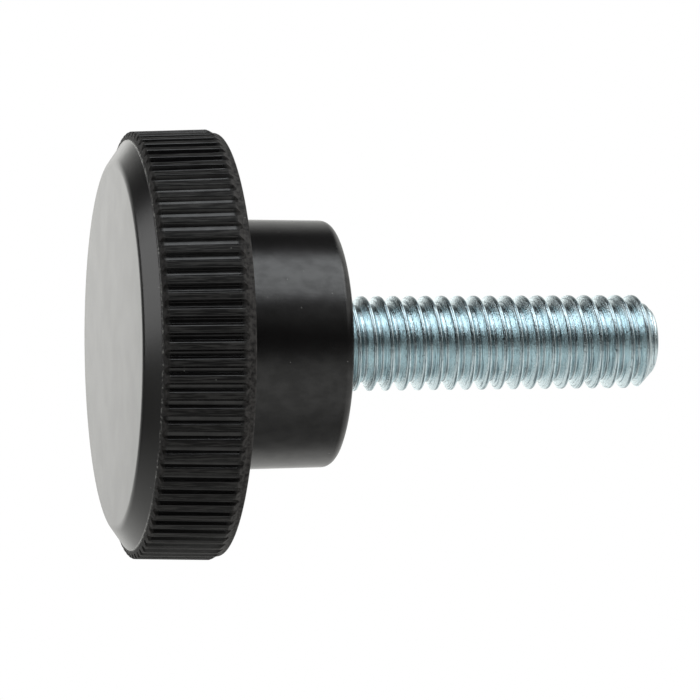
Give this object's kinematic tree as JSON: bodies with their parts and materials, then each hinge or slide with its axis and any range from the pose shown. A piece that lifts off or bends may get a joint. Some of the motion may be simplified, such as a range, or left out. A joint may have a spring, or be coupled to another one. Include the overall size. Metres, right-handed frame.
{
  "type": "knurled knob",
  "caption": "Round knurled knob with a hub and a threaded stud, turned by hand to clamp or adjust a part.",
  "frame": {"origin": "centre of the flat front face, on which the knob stands", "axes": "+Z along the axis of the knob, from the front face towards the free end of the stud; -Y towards a rib"},
  "size_m": [0.0254, 0.0254, 0.0333],
  "materials": {
    "knob": "glossy black duroplast, moulded",
    "threaded_stud": "bright bluish zinc plate on steel"
  },
  "bodies": {
    "root": {"knob": "knob", "threaded_stud": "threaded_stud"}
  },
  "joints": []
}
